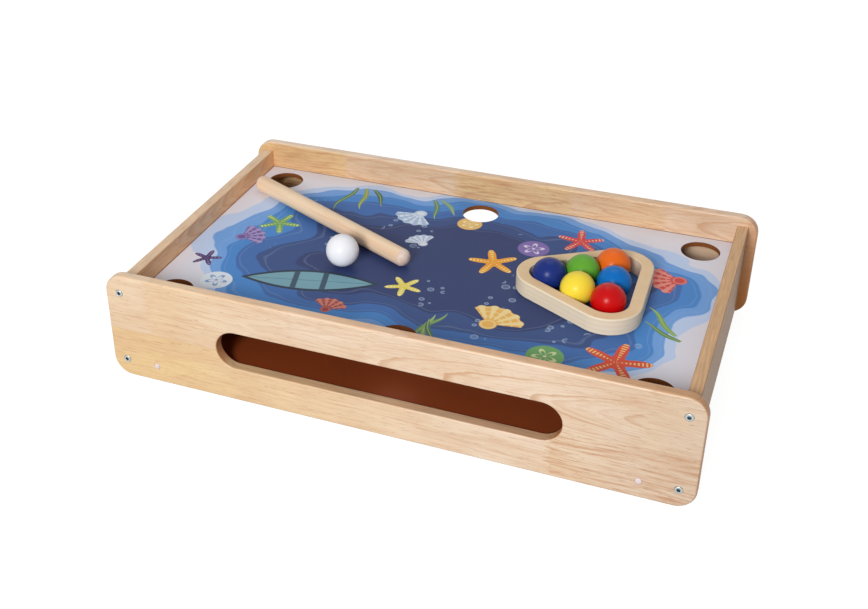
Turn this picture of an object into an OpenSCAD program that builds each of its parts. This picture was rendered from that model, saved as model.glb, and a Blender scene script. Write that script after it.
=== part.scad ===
// Two-sided tabletop game box: a pool table on top and a sling puck board underneath.
// Millimetres. X runs along the long boards, Y from front to back, Z up.
// The origin lies on the floor under the middle of the box.

/* [Box] */
// Length of the front and back boards
board_len = 600; // [540:5:700]
// Depth of the box over the front and back boards
box_depth = 360; // [320:5:440]
// Height of the front and back boards
board_h = 120; // [114:1:140]
// Thickness of the front and back boards
board_t = 12; // [10:0.5:16]
// Corner radius of the front and back boards
corner_r = 20; // [8:1:30]
// Round-over along the edges of the front and back boards
edge_r = 2.5; // [1:0.25:4]
// Thickness of the end boards
end_t = 12; // [10:0.5:16]
// Set-back of the end boards from the ends of the front and back boards
end_setback = 10; // [4:1:20]
// Step from the edges of the long boards down to those of the end boards
end_step = 10; // [4:1:14]
// Round-over along the edges of the end boards
end_edge_r = 1.5; // [0.5:0.25:3]

/* [Panels] */
// Thickness of the pool bed and of the sling board
panel_t = 5.5; // [4:0.5:8]
// Depth of each panel's playing face below the edges of the long boards
panel_recess = 31.5; // [26:0.5:36]
// Depth of the panel grooves in the boards
groove_depth = 5; // [3:0.5:7]
// Clearance above a panel in its groove
panel_gap = 0.2; // [0.1:0.05:0.4]
// Clearance between a panel's edges and the groove bottoms
panel_end_gap = 0.5; // [0.2:0.1:1]

/* [Ball slots] */
// Length of the ball slot in the front and back boards
slot_len = 352; // [240:2:420]
// Lip of board left between the ball slot and each panel
slot_lip = 2; // [1:0.5:5]
// Round-over along the rims of the ball slots
slot_edge_r = 1.5; // [0.5:0.25:3]

/* [Pockets] */
// Diameter of the six pockets
pocket_d = 41; // [37:0.5:46]
// Distance from the walls to the pocket centres
pocket_inset = 31.5; // [26:0.5:40]

/* [Corner screws] */
// Diameter of the screw heads
screw_head_d = 8; // [7:0.5:11]
// Height of the screw heads
screw_head_h = 2.6; // [2:0.1:4]
// Amount by which the screw heads stand out of the boards
screw_proud = 0.8; // [0.2:0.1:1.4]
// Diameter of the screw shanks
screw_shank_d = 5; // [4:0.25:6]
// Length of the screw shanks
screw_len = 45; // [35:1:60]
// Size across the corners of the hexagon socket
socket_d = 4; // [3:0.1:5]
// Depth of the hexagon socket
socket_depth = 2; // [1:0.1:2.4]
// Distance from the edges of the long boards to the screws
screw_inset = 20; // [18:0.5:25]
// Radial clearance of the screws in their holes
screw_gap = 0.1; // [0.05:0.05:0.3]
// Radial clearance round the screw heads
head_gap = 0.2; // [0.1:0.05:0.5]

/* [Slings] */
// Diameter of the elastic sling cords
cord_d = 4; // [3:0.25:5]
// Distance from the inner face of an end board to the sling cord
cord_inset = 29.5; // [22:0.5:45]
// Height of the sling cords over the sling board's playing face
cord_height = 12.5; // [8:0.5:16]
// Diameter of the cord stops
stop_d = 6.4; // [6:0.2:8]
// Depth by which a cord stop sits in its board
stop_seat = 4; // [3:0.25:6]
// Height by which a cord stop's dome stands out of its board
stop_proud = 0.9; // [0.4:0.1:1.5]
// Depth of the cord's end in its stop
cord_grip = 2.5; // [1.5:0.25:2.75]
// Radial clearance of the cords and stops in their holes
cord_gap = 0.2; // [0.1:0.05:0.4]

/* [Gate bar] */
// Thickness of the gate bar
gate_bar_t = 12; // [8:0.5:16]
// Depth of the housings that hold the gate bar in the long boards
housing_depth = 3; // [2:0.5:5]
// Clearance of the gate bar in its housings
housing_gap = 0.1; // [0.05:0.05:0.3]
// Width of the gate
gate_w = 52; // [40:1:70]
// Height of the gate over the sling board's playing face
gate_h = 14; // [10:0.5:15]
// Corner radius of the gate
gate_r = 6; // [2:0.5:9]

/* [Balls and rack] */
// Diameter of the balls
ball_d = 35; // [30:0.5:38]
// Gap between racked balls
ball_gap = 0.6; // [0.4:0.1:1]
// Gap between the bed and a round piece resting on it
rest_gap = 0.3; // [0.2:0.05:0.4]
// Height of the rack
rack_h = 18.5; // [12:0.5:22]
// Width of the rack's walls
rack_wall = 13; // [10:0.5:20]
// Play between the rack and the racked balls
rack_play = 4.7; // [4.6:0.1:7]
// Corner radius of the rack
rack_corner_r = 34; // [28:0.5:38]
// Round-over of the rack's outer edges
rack_edge_r = 1.75; // [1:0.25:3]
// Bevel of the rack's inner edges
rack_bevel = 0.8; // [0.4:0.1:2]

/* [Cue] */
// Diameter of the cue
cue_d = 19; // [14:0.5:22]
// Length of the cue
cue_len = 256.5; // [200:0.5:265]
// Depth of the cue's domed ends
cue_dome = 7.5; // [4:0.25:9]

/* [Loose pieces on the bed] */
// Distance from the right end board to the middle of the rack
rack_from_right = 120.5; // [110:0.1:150]
// Shift of the rack from the bed's middle line towards the back board
rack_shift = 6.7; // [-20:0.1:20]
// Turn of the rack
rack_turn = 2.3; // [0:0.1:8]
// How far each racked ball has rolled to the right and to the back of its regular place
navy_roll = [-2.5, -3.49];
green_roll = [-2.43, -4.11];
orange_roll = [-6.14, 0.78];
yellow_roll = [-0.77, -3.83];
blue_roll = [0.79, 0.7];
red_roll = [1.27, 0.94];
// Distance from the left end board to the cue ball
cue_ball_from_left = 175.8; // [160:0.1:190]
// Distance from the back board to the cue ball
cue_ball_from_back = 195.8; // [190:0.1:220]
// Distance from the left end board to the middle of the cue
cue_from_left = 127.3; // [124:0.1:150]
// Distance from the back board to the middle of the cue
cue_from_back = 120.9; // [110:0.1:122]
// Turn of the cue
cue_turn = -26.3; // [-30:0.1:-20]

/* [Hidden] */

// Extra length that takes a cutter past the face it opens
past = 1;
// Sides of a full turn on hulled, round and arced shapes
hull_sides = 32;
round_sides = 64;
edge_steps = 5;
curve_steps = 10;

// Inner faces of the boards, measured from the middle of the box
inner_x = board_len / 2 - end_setback - end_t;
inner_y = box_depth / 2 - board_t;
// Playing faces of the two panels
bed_z = board_h - panel_recess;
sling_z = panel_recess;
// Panels reach into the grooves of the boards on all four sides
panel_x = inner_x + groove_depth - panel_end_gap;
panel_y = inner_y + groove_depth - panel_end_gap;
groove_w = panel_t + panel_gap;
// The ball slot opens the space between the panels
slot_h = bed_z - sling_z - 2 * panel_t - 2 * slot_lip;

screw_x = inner_x + end_t / 2;
screw_z = [screw_inset, board_h - screw_inset];
head_seat = screw_head_h - screw_proud;
shank_r = screw_shank_d / 2;
// A screw's point is as long as its shank is thick
point_len = screw_shank_d;
// Room in front of a screw's point
point_room = 2;

cord_x = inner_x - cord_inset;
cord_z = sling_z - cord_height;
cord_end = box_depth / 2 - stop_seat + cord_grip;

ball_r = ball_d / 2;
pitch = ball_d + ball_gap;
// Inradius of the triangle through the racked balls, and of the rack's inner and outer outlines
rack_in = pitch / sqrt(3) + ball_r + rack_play;
rack_out = rack_in + rack_wall;
rack_x = inner_x - rack_from_right;
cue_r = cue_d / 2;

wood = [0.90, 0.78, 0.60];
end_wood = [0.83, 0.68, 0.48];
hardboard = [0.40, 0.22, 0.12];
print_blue = [0.33, 0.45, 0.66];
steel = [0.72, 0.72, 0.74];
pale_pink = [0.90, 0.84, 0.84];
beech = [0.87, 0.75, 0.60];
ply = [0.87, 0.74, 0.58];

// Points along an arc about a centre, from one angle to another
function arc(cx, cy, r, from, to, steps = edge_steps) =
    [for (i = [0 : steps]) let (a = from + (to - from) * i / steps) [cx + r * cos(a), cy + r * sin(a)]];

// Outline of a rectangle with rounded corners
function rounded_box(w, h, r) = concat(
    arc(w / 2 - r, h / 2 - r, r, 0, 90),
    arc(r - w / 2, h / 2 - r, r, 90, 180),
    arc(r - w / 2, r - h / 2, r, 180, 270),
    arc(w / 2 - r, r - h / 2, r, 270, 360)
);

// Turns a shape drawn upwards along Z so that it points to the back along Y
module along_y() {
    rotate([-90, 0, 0]) children();
}

// A disc with rounded rims, which is a corner of a long board
module corner_disc() {
    half = board_t / 2;
    rim = concat(
        arc(corner_r - edge_r, edge_r - half, edge_r, 270, 360),
        arc(corner_r - edge_r, half - edge_r, edge_r, 0, 90)
    );
    along_y() rotate_extrude($fn = hull_sides) polygon(concat([[0, -half]], rim, [[0, half]]));
}

// The bare long board, standing on the floor with its middle plane on Y = 0
module board_blank() {
    hull()
        for (x = [-1, 1], z = [corner_r, board_h - corner_r])
            translate([x * (board_len / 2 - corner_r), 0, z]) corner_disc();
}

// Section of one half of the ball slot, flared at both faces of the board
function slot_section() =
    let (half = slot_h / 2, rim = half + slot_edge_r, flare = board_t / 2 - slot_edge_r) concat(
        [[0, -board_t / 2 - past], [rim, -board_t / 2 - past]],
        arc(rim, -flare, slot_edge_r, 270, 180),
        arc(rim, flare, slot_edge_r, 180, 90),
        [[rim, board_t / 2 + past], [0, board_t / 2 + past]]
    );

module slot_cutter() {
    run = slot_len - slot_h;
    translate([0, 0, board_h / 2]) {
        for (end = [-1, 1])
            translate([end * run / 2, 0, 0])
                along_y() rotate_extrude($fn = round_sides) polygon(slot_section());
        for (turn = [0, 180])
            rotate([0, turn, 0]) translate([-run / 2, 0, 0])
                rotate([90, 0, 90]) linear_extrude(run) polygon([for (p = slot_section()) [p[1], p[0]]]);
    }
}

// Everything that is cut from the inside of a long board, drawn for the front one
module inside_cuts() {
    inside = board_t / 2;
    reach = inner_x + groove_depth;
    for (z = [bed_z - panel_t, sling_z])
        translate([-reach, inside - groove_depth, z]) cube([2 * reach, groove_depth + past, groove_w]);
    housing_w = gate_bar_t + 2 * housing_gap;
    translate([-housing_w / 2, inside - housing_depth, end_step])
        cube([housing_w, housing_depth + past, sling_z - end_step + past]);
}

// A stepped hole through a long board: a wide seat at the outside, and a way through
module stepped_hole(seat_depth, seat_r, hole_r) {
    along_y() {
        cylinder(h = board_t + past, r = hole_r, $fn = round_sides);
        translate([0, 0, -past]) cylinder(h = seat_depth + past, r = seat_r, $fn = round_sides);
    }
}

// Holes for the corner screws and the sling cords, drawn for the front board
module outside_holes() {
    outside = -board_t / 2;
    for (x = [-screw_x, screw_x], z = screw_z)
        translate([x, outside, z]) stepped_hole(head_seat, screw_head_d / 2 + head_gap, shank_r + screw_gap);
    for (x = [-cord_x, cord_x])
        translate([x, outside, cord_z]) stepped_hole(stop_seat, stop_d / 2 + cord_gap, cord_d / 2 + cord_gap);
}

module long_board() {
    difference() {
        board_blank();
        slot_cutter();
        inside_cuts();
        outside_holes();
    }
}

module front_board() {
    color(wood) translate([0, -inner_y - board_t / 2, 0]) long_board();
}

module back_board() {
    color(wood) mirror([0, 1, 0]) translate([0, -inner_y - board_t / 2, 0]) long_board();
}

// An end board on the X = 0 plane, with its inner face towards +X
module end_board() {
    tall = board_h - 2 * end_step;
    pilot = screw_len - board_t + head_seat + point_room;
    difference() {
        translate([0, inner_y, board_h / 2])
            rotate([90, 0, 0]) linear_extrude(2 * inner_y) polygon(rounded_box(end_t, tall, end_edge_r));
        for (z = [bed_z - panel_t, sling_z])
            translate([end_t / 2 - groove_depth, -inner_y - past, z])
                cube([groove_depth + past, 2 * (inner_y + past), groove_w]);
        for (z = screw_z, turn = [0, 180])
            rotate([0, 0, turn]) translate([0, -inner_y - past, z])
                along_y() cylinder(h = pilot + past, r = shank_r + screw_gap, $fn = round_sides);
    }
}

module left_end_board() {
    color(end_wood) translate([-screw_x, 0, 0]) end_board();
}

module right_end_board() {
    color(end_wood) translate([screw_x, 0, 0]) mirror([1, 0, 0]) end_board();
}

module panel() {
    translate([-panel_x, -panel_y, 0]) cube([2 * panel_x, 2 * panel_y, panel_t]);
}

module pool_bed() {
    color(print_blue) translate([0, 0, bed_z - panel_t]) difference() {
        panel();
        for (x = [-1, 0, 1], y = [-1, 1])
            translate([x * (inner_x - pocket_inset), y * (inner_y - pocket_inset), -past])
                cylinder(h = panel_t + 2 * past, d = pocket_d, $fn = round_sides);
    }
}

module sling_board() {
    color(hardboard) translate([0, 0, sling_z]) panel();
}

// The wall across the sling board, with the gate that the pucks are shot through
module gate_bar() {
    reach = inner_y + housing_depth;
    tall = sling_z - end_step;
    color(wood) translate([-gate_bar_t / 2, 0, end_step]) difference() {
        translate([0, -reach, 0]) cube([gate_bar_t, 2 * reach, tall]);
        translate([-past, 0, tall - gate_h]) rotate([90, 0, 90])
            linear_extrude(gate_bar_t + 2 * past) polygon(concat(
                arc(gate_r - gate_w / 2, gate_r, gate_r, 180, 270),
                arc(gate_w / 2 - gate_r, gate_r, gate_r, 270, 360),
                [[gate_w / 2, gate_h + past], [-gate_w / 2, gate_h + past]]
            ));
    }
}

module sling_cord(x) {
    color("whitesmoke") translate([x, -cord_end, cord_z])
        along_y() cylinder(h = 2 * cord_end, d = cord_d, $fn = round_sides);
}

module left_sling_cord() {
    sling_cord(-cord_x);
}

module right_sling_cord() {
    sling_cord(cord_x);
}

// A domed button that grips the end of a sling cord, drawn with its dome down
module cord_stop() {
    dome = [for (p = arc(0, 0, 1, 270, 360)) [p[0] * stop_d / 2, p[1] * stop_proud]];
    difference() {
        rotate_extrude($fn = round_sides) polygon(concat(dome, [[stop_d / 2, stop_seat], [0, stop_seat]]));
        translate([0, 0, stop_seat - cord_grip])
            cylinder(h = cord_grip + past, d = cord_d + 2 * screw_gap, $fn = round_sides);
    }
}

module cord_stops() {
    color(pale_pink)
        for (turn = [0, 180], x = [-cord_x, cord_x])
            rotate([0, 0, turn]) translate([x, -box_depth / 2, cord_z]) along_y() cord_stop();
}

// A screw with its head's seat on Z = 0 and its point up
module corner_screw() {
    bevel = screw_proud / 2;
    head_r = screw_head_d / 2;
    difference() {
        rotate_extrude($fn = round_sides) polygon([
            [0, -screw_head_h], [head_r - 2 * bevel, -screw_head_h], [head_r, bevel - screw_head_h],
            [head_r, 0], [shank_r, 0], [shank_r, screw_len - point_len], [0, screw_len]
        ]);
        translate([0, 0, -screw_head_h - past]) cylinder(h = socket_depth + past, d = socket_d, $fn = 6);
    }
}

module corner_screws() {
    color(steel)
        for (turn = [0, 180], x = [-screw_x, screw_x], z = screw_z)
            rotate([0, 0, turn]) translate([x, head_seat - box_depth / 2, z]) along_y() corner_screw();
}

// Outline of a round-cornered triangle that points to the left
function rack_outline(inradius, r) =
    let (reach = 2 * (inradius - r))
    [for (turn = [60 : 120 : 300])
        for (p = arc(reach * cos(turn), reach * sin(turn), r, turn - 60, turn + 60, curve_steps)) p];

module rack_disc() {
    rim = concat(
        arc(rack_corner_r - rack_edge_r, rack_edge_r, rack_edge_r, 270, 360),
        arc(rack_corner_r - rack_edge_r, rack_h - rack_edge_r, rack_edge_r, 0, 90)
    );
    rotate_extrude($fn = 2 * hull_sides) polygon(concat([[0, 0]], rim, [[0, rack_h]]));
}

module rack_opening(height, flare) {
    linear_extrude(height, scale = 1 + flare / rack_in)
        polygon(rack_outline(rack_in, rack_corner_r - rack_wall));
}

// Places what is drawn about the rack's middle on the bed
module on_rack_spot() {
    translate([rack_x, rack_shift, bed_z]) rotate([0, 0, rack_turn]) children();
}

module rack() {
    color(ply) on_rack_spot() difference() {
        hull()
            for (turn = [60 : 120 : 300])
                rotate([0, 0, turn]) translate([2 * (rack_out - rack_corner_r), 0, 0]) rack_disc();
        translate([0, 0, -past]) rack_opening(rack_h + 2 * past, 0);
        translate([0, 0, rack_h - rack_bevel]) rack_opening(rack_bevel + past, rack_bevel + past);
        translate([0, 0, rack_bevel]) mirror([0, 0, 1]) rack_opening(rack_bevel + past, rack_bevel + past);
    }
}

module cue() {
    straight = cue_len / 2 - cue_dome;
    far = [for (p = arc(0, 0, 1, 0, 90, curve_steps)) [p[0] * cue_r, straight + p[1] * cue_dome]];
    near = [for (p = arc(0, 0, 1, 270, 360, curve_steps)) [p[0] * cue_r, p[1] * cue_dome - straight]];
    color(beech) translate([cue_from_left - inner_x, inner_y - cue_from_back, bed_z + rest_gap + cue_r])
        rotate([0, 90, cue_turn]) rotate_extrude($fn = round_sides) polygon(concat(near, far));
}

module cue_ball() {
    color("white")
        translate([cue_ball_from_left - inner_x, inner_y - cue_ball_from_back, bed_z + rest_gap + ball_r])
            sphere(r = ball_r, $fn = round_sides);
}

// A ball in the rack: its row counts from the rack's left corner, its seat from the front
module racked_ball(row, seat, roll) {
    row_step = pitch * sin(60);
    // The middle of the three rows' six balls lies this many rows from the left corner
    middle = 4 / 3;
    along = (row - middle) * row_step + roll[0];
    across = (seat - row / 2) * pitch + roll[1];
    on_rack_spot() translate([along, across, rest_gap + ball_r]) sphere(r = ball_r, $fn = round_sides);
}

module navy_ball() {
    color("navy") racked_ball(0, 0, navy_roll);
}

module green_ball() {
    color("limegreen") racked_ball(1, 1, green_roll);
}

module orange_ball() {
    color("darkorange") racked_ball(2, 2, orange_roll);
}

module yellow_ball() {
    color("gold") racked_ball(1, 0, yellow_roll);
}

module blue_ball() {
    color("royalblue") racked_ball(2, 1, blue_roll);
}

module red_ball() {
    color("red") racked_ball(2, 0, red_roll);
}

front_board();
back_board();
left_end_board();
right_end_board();
pool_bed();
sling_board();
gate_bar();
left_sling_cord();
right_sling_cord();
cord_stops();
corner_screws();
rack();
cue();
cue_ball();
navy_ball();
green_ball();
orange_ball();
yellow_ball();
blue_ball();
red_ball();
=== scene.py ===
import math
import bmesh
import bpy
from mathutils import Matrix, Vector


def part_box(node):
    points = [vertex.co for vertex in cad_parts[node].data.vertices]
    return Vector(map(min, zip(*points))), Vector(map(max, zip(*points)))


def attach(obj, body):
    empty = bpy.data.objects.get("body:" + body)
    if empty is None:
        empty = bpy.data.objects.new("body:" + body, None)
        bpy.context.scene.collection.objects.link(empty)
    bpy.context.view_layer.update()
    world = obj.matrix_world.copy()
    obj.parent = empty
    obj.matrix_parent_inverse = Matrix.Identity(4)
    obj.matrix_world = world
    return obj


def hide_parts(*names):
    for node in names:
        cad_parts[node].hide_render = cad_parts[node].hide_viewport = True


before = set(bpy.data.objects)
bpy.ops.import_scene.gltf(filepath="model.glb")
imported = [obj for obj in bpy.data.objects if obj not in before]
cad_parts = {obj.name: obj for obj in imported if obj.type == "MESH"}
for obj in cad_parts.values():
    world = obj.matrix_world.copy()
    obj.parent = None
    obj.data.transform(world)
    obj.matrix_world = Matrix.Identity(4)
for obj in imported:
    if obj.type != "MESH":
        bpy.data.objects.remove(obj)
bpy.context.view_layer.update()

# Sizes in millimetres, as in the part's source. X runs along the long boards, Y to the back, Z up.
MM = 0.001
BOARD_LEN, BOARD_H = 600, 120
CORNER_R, EDGE_R = 20, 2.5
OUTER_Y, INNER_Y = 180, 168
OUTER_X, INNER_X = 290, 278
END_LOW, END_HIGH, END_EDGE = 10, 110, 1.2
SLOT_LEN, SLOT_H, SLOT_EDGE = 352, 42, 1.5
# Panels, and the heights of the grooves that hold them
PANEL_X, PANEL_Y = 282.5, 172.5
BED_UNDER, BED_TOP = 83, 88.5
SLING_UNDER, SLING_TOP = 31.5, 37
GROOVE, GROOVE_GAP = 5, 0.2
GROOVES = [(BED_UNDER, BED_TOP + GROOVE_GAP), (SLING_UNDER, SLING_TOP + GROOVE_GAP)]
POCKET_R, POCKET_EDGE = 20.5, 0.35
POCKETS = [(x, y) for x in (-246.5, 0, 246.5) for y in (-136.5, 136.5)]
# Gate bar
BAR_T, BAR_EDGE = 12, 0.8
HOUSING, HOUSING_GAP = 3, 0.1
GATE_W, GATE_H, GATE_R = 52, 14, 6
# Corner screws and their holes
SCREW_X, SCREW_Z = 284, (20, 100)
HEAD_R, HEAD_H, HEAD_EDGE, HEAD_PROUD = 4, 2.6, 0.9, 0.8
SHANK_R, SHANK_LEN, POINT_LEN, POINT_SHARE = 2.5, 45, 5, 0.05
SOCKET_R, SOCKET_DEPTH, SOCKET_EDGE, SOCKET_TURN = 2, 2, 0.15, 0.7
HEAD_SEAT_R, HEAD_SEAT = 4.2, 1.8
BORE_R, BORE_LEN = 2.6, 37.8
# Sling cords, their stops and their holes
CORD_X, CORD_Z, CORD_R, CORD_LEN = 248.5, 19, 2, 357
CORD_RINGS, CORD_RING_STEP = 10, 16
STOP_R, STOP_LEN, STOP_PROUD = 3.2, 4, 0.9
GRIP_R, GRIP = 2.1, 2.5
STOP_SEAT_R, STOP_SEAT, WAY_R = 3.45, 4.2, 2.2
# Loose pieces
BALL_R, BALL_FLAT = 17.5, 0.12
RACK_AT, RACK_TURN = (157.5, 6.7), 2.3
RACK_H, RACK_OUT, RACK_CORNER, RACK_WALL = 18.5, 55.75, 34, 13
RACK_EDGE, RACK_INNER_EDGE = 1.75, 0.8
CUE_AT, CUE_TURN, CUE_R = (-150.7, 47.1, 98.3), -26.3, 9.5
CUE_LEN, CUE_DOME = 256.5, 7.5
# Wood
FINGER_PITCH, FINGER_LEN = 4.2, 9
RING_WIDTH, HEART_DEPTH = 1.3, 20
# Modelling
NEAR = 0.01        # places closer than this are one
THROUGH = 20       # length of a cutter that goes right through a board
SHARP = 0.6        # angle between faces, in radians, from which an edge is sharp
SMOOTH_ANGLE = 38  # angle between faces, in degrees, up to which they are shaded as one
# Camera
CAMERA_AT = (0.347544, -1.054704, 0.737786)  # metres
CAMERA_TURN = (23.376, -29.893, -1.25)       # yaw, pitch and roll in degrees
CAMERA_SENSOR, CAMERA_LENS = 36, 50.34
CAMERA_SHIFT = (0.0994, -0.0504)             # shares of the picture's width


def rgb(red, green, blue):
    """A colour as it looks on a screen, made ready for a shader."""
    parts = [c / 255 for c in (red, green, blue)]
    return tuple(c / 12.92 if c <= 0.04045 else ((c + 0.055) / 1.055) ** 2.4 for c in parts) + (1.0,)


# Shader maths
class Val:
    """A shader value. Arithmetic on it adds Math nodes to its finish."""

    def __init__(self, finish, socket):
        self.finish = finish
        self.socket = socket

    def math(self, operation, *others):
        return self.finish.math(operation, self, *others)

    def __add__(self, other):
        return self.math("ADD", other)

    def __sub__(self, other):
        return self.math("SUBTRACT", other)

    def __mul__(self, other):
        return self.math("MULTIPLY", other)

    def __truediv__(self, other):
        return self.math("DIVIDE", other)

    def __pow__(self, other):
        return self.math("POWER", other)

    def __mod__(self, other):
        return self.math("FLOORED_MODULO", other)

    def __gt__(self, other):
        return self.math("GREATER_THAN", other)

    def __abs__(self):
        return self.math("ABSOLUTE")

    def __rsub__(self, other):
        return self.finish.math("SUBTRACT", other, self)

    __radd__ = __add__
    __rmul__ = __mul__


class Finish:
    """The nodes of a material or of the world."""

    def __init__(self, owner):
        owner.use_nodes = True
        self.owner = owner
        self.tree = owner.node_tree
        self.tree.nodes.clear()

    def add(self, kind, settings=None, sockets=None, out=0):
        node = self.tree.nodes.new("ShaderNode" + kind)
        for key, value in (settings or {}).items():
            setattr(node, key, value)
        for key, value in (sockets or {}).items():
            if isinstance(value, Val):
                self.tree.links.new(value.socket, node.inputs[key])
            else:
                node.inputs[key].default_value = value
        return Val(self, node.outputs[out]) if len(node.outputs) else None

    def math(self, operation, *values):
        return self.add("Math", {"operation": operation}, dict(enumerate(values)))

    def place(self, middle=(0, 0, 0), turn=0.0):
        """The place on the piece in millimetres from a middle, turned about Z."""
        point = self.add("TexCoord", out=3)
        return self.add("Mapping", {"vector_type": "TEXTURE"}, {
            "Vector": point, "Location": [c * MM for c in middle],
            "Rotation": (0, 0, math.radians(turn)), "Scale": (MM, MM, MM)})

    def facing(self):
        """The three parts of the direction that the surface faces."""
        return self.split(self.add("TexCoord", out=1))

    def split(self, vector):
        node = self.add("SeparateXYZ", {}, {0: vector}).socket.node
        return [Val(self, output) for output in node.outputs]

    def vector(self, x, y, z):
        return self.add("CombineXYZ", {}, {0: x, 1: y, 2: z})

    def noise(self, vector, scale=1.0, detail=2.0, roughness=0.5):
        return self.add("TexNoise", {}, {
            "Vector": vector, "Scale": scale, "Detail": detail, "Roughness": roughness})

    def step(self, value, low, high):
        """0 below low, 1 above high and smooth between."""
        return self.add("MapRange", {"interpolation_type": "SMOOTHSTEP"},
                        {"Value": value, "From Min": low, "From Max": high})

    def blend(self, share, first, second):
        return self.add("Mix", {"data_type": "RGBA"}, {0: share, 6: first, 7: second}, 2)

    def shade(self, color, amount):
        """A colour made darker or lighter by an amount round 1."""
        color = color if isinstance(color, Val) else color[:3]
        return self.add("VectorMath", {"operation": "SCALE"}, {0: color, 3: amount})

    def surface(self, color, roughness, height, depth, **plain):
        """The shader itself; depth is how far, in millimetres, height 1 stands over height 0."""
        bump = self.add("Bump", {}, {"Height": height, "Distance": depth * MM})
        sockets = {"Base Color": color, "Roughness": roughness, "Normal": bump}
        sockets.update({key.replace("_", " "): value for key, value in plain.items()})
        shader = self.add("BsdfPrincipled", {}, sockets)
        self.add("OutputMaterial", {}, {0: shader})
        return self.owner


def new_finish(name):
    return Finish(bpy.data.materials.new(name))


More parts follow.
